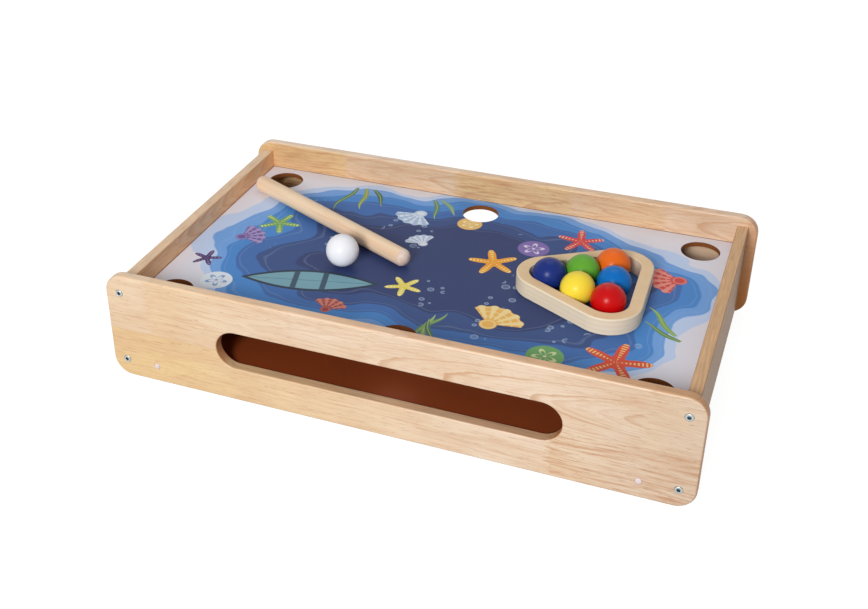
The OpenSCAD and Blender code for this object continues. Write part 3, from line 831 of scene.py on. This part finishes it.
def sling_cord(name, x, material):
    """A cord between the long boards, divided along its length."""
    cord = rod(name + "_braid", (x, 0, CORD_Z), CORD_R, CORD_LEN, "y", sides=24)
    edit(cord)
    for i in range(-CORD_RINGS, CORD_RINGS + 1):
        bpy.ops.mesh.select_all(action="SELECT")
        bpy.ops.mesh.bisect(plane_co=(x * MM, i * CORD_RING_STEP * MM, CORD_Z * MM), plane_no=(0, 1, 0))
    done()
    settle(cord, material, "elastic", "box", name)


# Loose pieces
def rack(material):
    """A rounded triangle hulled from its three corners, opened by an inset and eased along its edges."""
    reach, sides = 2 * (RACK_OUT - RACK_CORNER), 96
    corners = [(reach * math.cos(turn), reach * math.sin(turn), RACK_H / 2)
               for turn in (math.pi / 3, math.pi, math.pi * 5 / 3)]
    ring = rod("rack_ply", corners[0], RACK_CORNER, RACK_H, "z", sides)
    edit(ring)
    for corner in corners[1:]:
        bpy.ops.mesh.primitive_cylinder_add(vertices=sides, radius=RACK_CORNER * MM, depth=RACK_H * MM,
                                            location=[c * MM for c in corner])
    bpy.ops.mesh.select_all(action="SELECT")
    bpy.ops.mesh.convex_hull()
    bpy.ops.mesh.dissolve_limited(angle_limit=math.radians(0.5))
    for level in (RACK_H, 0):
        pick(ring, lambda p: abs(p.z - level) < NEAR)
        bpy.ops.mesh.inset(thickness=RACK_WALL * MM)
        bpy.ops.mesh.delete(type="FACE")
    bpy.ops.mesh.select_mode(type="EDGE")
    bpy.ops.mesh.select_all(action="DESELECT")
    bpy.ops.mesh.select_non_manifold()
    bpy.ops.mesh.bridge_edge_loops()
    bpy.ops.mesh.select_all(action="SELECT")
    bpy.ops.mesh.normals_make_consistent(inside=False)
    done()

    def is_outer(edge):
        wall = [face for face in edge.link_faces if is_wall(face, "z")][0]
        middle = wall.calc_center_median()
        return wall.normal.dot(middle - Vector((0, 0, middle.z))) > 0

    def round_outside(edge, a, b):
        return is_rim(edge, a, b) and is_outer(edge)

    def round_inside(edge, a, b):
        at_face = min(abs(a.z), abs(a.z - RACK_H)) < NEAR
        return at_face and is_rim(edge, a, b) and not is_outer(edge)

    bevel_edges(ring, RACK_EDGE, 5, round_outside)
    bevel_edges(ring, RACK_INNER_EDGE, 3, round_inside)
    ring.data.transform(shift(*RACK_AT, BED_TOP) @ Matrix.Rotation(math.radians(RACK_TURN), 4, "Z"))
    settle(ring, material, "birch_ply", "rack", "rack")


def cue(material):
    """A round stick with domed ends."""
    straight = CUE_LEN - 2 * CUE_DOME
    stick = rod("cue_beech", (0, 0, 0), CUE_R, straight, "x", sides=56)
    domed_end(stick, lambda p: p.x > straight / 2 - NEAR, "x", CUE_DOME)
    domed_end(stick, lambda p: p.x < NEAR - straight / 2, "x", -CUE_DOME)
    stick.data.transform(shift(*CUE_AT) @ Matrix.Rotation(math.radians(CUE_TURN), 4, "Z"))
    settle(stick, material, "beech", "cue", "cue")


def ball(name, slot, color, tilt):
    """A turned ball with two small flats, where the lathe held it."""
    low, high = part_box(name)
    middle = (low + high) / 2
    piece = begin(bpy.ops.mesh.primitive_uv_sphere_add, name + "_painted",
                  segments=64, ring_count=40, radius=BALL_R * MM)
    for end in (1, -1):
        edit(piece)
        bpy.ops.mesh.select_all(action="SELECT")
        bpy.ops.mesh.bisect(plane_co=(0, 0, end * (BALL_R - BALL_FLAT) * MM), plane_no=(0, 0, end),
                            use_fill=True, clear_outer=True, threshold=1e-7)
        bpy.ops.mesh.select_all(action="SELECT")
        bpy.ops.mesh.normals_make_consistent(inside=False)
        done()
    turn = Matrix.Rotation(tilt[0], 4, "Z") @ Matrix.Rotation(math.pi / 2 + tilt[1], 4, "Y")
    piece.data.transform(Matrix.Translation(middle) @ turn)
    settle(piece, ball_paint(slot, color), slot, name, name)


# Stage
def camera():
    """Looks at the part as the photograph does."""
    yaw, pitch, roll = (math.radians(a) for a in CAMERA_TURN)
    forward = Vector((-math.sin(yaw) * math.cos(pitch), math.cos(yaw) * math.cos(pitch), math.sin(pitch)))
    level = forward.cross(Vector((0, 0, 1))).normalized()
    rise = level.cross(forward)
    right = level * math.cos(roll) + rise * math.sin(roll)
    up = rise * math.cos(roll) - level * math.sin(roll)
    data = bpy.data.cameras.new("camera")
    data.sensor_width = CAMERA_SENSOR
    data.lens = CAMERA_LENS
    data.shift_x, data.shift_y = CAMERA_SHIFT
    data.clip_end = 20
    eye = bpy.data.objects.new("camera", data)
    turn = Matrix((right, up, -forward)).transposed().to_4x4()
    eye.matrix_world = Matrix.Translation(CAMERA_AT) @ turn
    bpy.context.scene.collection.objects.link(eye)
    bpy.context.scene.camera = eye


def lamp(name, place, size, power):
    """A round soft light that faces the box."""
    data = bpy.data.lights.new(name, "AREA")
    data.shape = "DISK"
    data.size = size
    data.energy = power
    piece = bpy.data.objects.new(name, data)
    piece.location = place
    target = Vector((0, 0, 0.08))
    piece.rotation_euler = (target - Vector(place)).to_track_quat("-Z", "Y").to_euler()
    bpy.context.scene.collection.objects.link(piece)


def seen(f):
    """1 for rays that show the background: straight to the camera, mirrored or let through."""
    path = f.add("LightPath").socket.node.outputs
    kinds = ("Is Camera Ray", "Is Glossy Ray", "Is Transmission Ray")
    camera_ray, glossy, through = (Val(f, path[kind]) for kind in kinds)
    return camera_ray.math("MAXIMUM", glossy).math("MAXIMUM", through)


def floor():
    """A white ground that glows where it is seen, and sends less light up than it shows."""
    piece = begin(bpy.ops.mesh.primitive_plane_add, "floor", size=8)
    f = new_finish("floor")
    shown = seen(f)
    grey = f.blend(shown, (0.28, 0.28, 0.28, 1), (0.25, 0.25, 0.25, 1))
    pale = f.add("BsdfDiffuse", {}, {"Color": grey})
    glow = f.add("Emission", {}, {"Color": (1, 1, 1, 1), "Strength": shown * 0.92})
    f.add("OutputMaterial", {}, {0: f.add("AddShader", {}, {0: pale, 1: glow})})
    piece.data.materials.append(f.owner)


def room_light():
    """White all round where it is seen, and dimmer as a light."""
    world = bpy.data.worlds.new("studio")
    bpy.context.scene.world = world
    f = Finish(world)
    sky = f.add("Background", {}, {"Color": (1, 1, 1, 1), "Strength": 0.32 + seen(f) * 0.68})
    f.add("OutputWorld", {}, {0: sky})


# The build
bpy.context.scene.view_settings.view_transform = "Standard"
camera()
room_light()
floor()
lamp("front_softbox", (-0.05, -2.9, 1.5), 1.0, 76)
lamp("top_softbox", (-0.1, 0.8, 1.7), 1.2, 4)

long_board("front_board", -1, wood("front_rubberwood", "xzy", 57, (
    ((-400, 0.7, 0.2, 20, -150, 0.01), (164, 0.3, 0.8, 44, 700, 0.02)),
    ((-400, 1.6, 0.12, 70, -600, 0.02), (-253, 1.25, 0.12, 97, -169, 0.016),
     (-17, 1.0, 0.06, 85, 200, 0.062), (249, 0.1, 0.2, 100, 420, 0.03))),
    drift=0.003, edge_share=0.4, painted_edge_drift=0.0014, painted_end_shade=0.13))
long_board("back_board", 1, wood("back_rubberwood", "xzy", 60, (
    ((-400, 0.5, 0.5, 20, -300, 0.02), (-120, 0.2, 0.4, 40, 300, 0.03), (210, 0.8, 0.5, 10, 500, 0.02)),
    ((-400, 0.0, 0.85, 70, -100, 0.03), (-180, 0.75, 0.5, 104, 60, 0.05), (-40, 0.05, 0.9, 90, 200, 0.05),
     (95, 0.5, 0.6, 80, 380, 0.04), (200, 1.0, 0.2, 100, 420, 0.05))),
    warm=0.22, painted_face_light=0.95, edge_tone_and_sheen=(248, 230, 212), edge_share=0.33, painted_edge_drift=-0.0011, painted_corner_shade=1.1))
end_board("left_end_board", -1, wood("left_end_rubberwood", "yzx", 55, (
    ((-400, 0.5, 0.3, 30, 300, 0.03), (60, 0.7, 0.3, 10, 500, 0.03)),
    ((-400, 0.6, 0.7, 80, -60, 0.05), (-70, 0.6, 0.5, 100, 260, 0.05))),
    warm=0.55, painted_face_light=1.23, edge_tone_and_sheen=(244, 218, 188), edge_share=0.5))
end_board("right_end_board", 1, wood("right_end_rubberwood", "yzx", 62, (
    ((-400, 0.6, 0.3, 30, 200, 0.03), (-40, 0.7, 0.2, 10, 400, 0.03)),
    ((-400, 0.5, 0.3, 90, 60, 0.04), (90, 0.6, 0.5, 70, 260, 0.05))),
    warm=0.7, painted_face_light=0.75, edge_tone_and_sheen=(222, 196, 166), edge_share=0.35, gloss=0.05))
pool_bed(printed_board())
gate_bar(wood("gate_rubberwood", "yzx", -50, (
    ((-400, 0.5, 0.2, 20, 0, 0.03),), ((-400, 0.5, 0.2, 20, -90, 0.04),))))
corner_screws(screw_steel())
cord_stops(pale_plastic())
sling_cord("left_sling_cord", -CORD_X, woven_elastic("elastic_left", -CORD_X))
sling_cord("right_sling_cord", CORD_X, woven_elastic("elastic_right", CORD_X))
rack(birch_ply())
cue(beech())
for name, slot, color, tilt in [
    ("cue_ball", "paint_white", rgb(245, 245, 250), (0.4, 0.1)),
    ("navy_ball", "paint_navy", rgb(22, 44, 121), (0.3, -0.2)),
    ("green_ball", "paint_green", rgb(98, 167, 50), (0.5, 0.2)),
    ("orange_ball", "paint_orange", rgb(235, 106, 26), (0.4, -0.1)),
    ("yellow_ball", "paint_yellow", rgb(248, 221, 64), (0.2, 0.1)),
    ("blue_ball", "paint_blue", rgb(0, 107, 188), (0.5, -0.2)),
    ("red_ball", "paint_red", rgb(201, 4, 8), (0.4, 0.2)),
]:
    ball(name, slot, color, tilt)

# The sling board keeps its CAD mesh
sling_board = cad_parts["sling_board"]
sling_board.data.materials.clear()
sling_board.data.materials.append(hardboard())
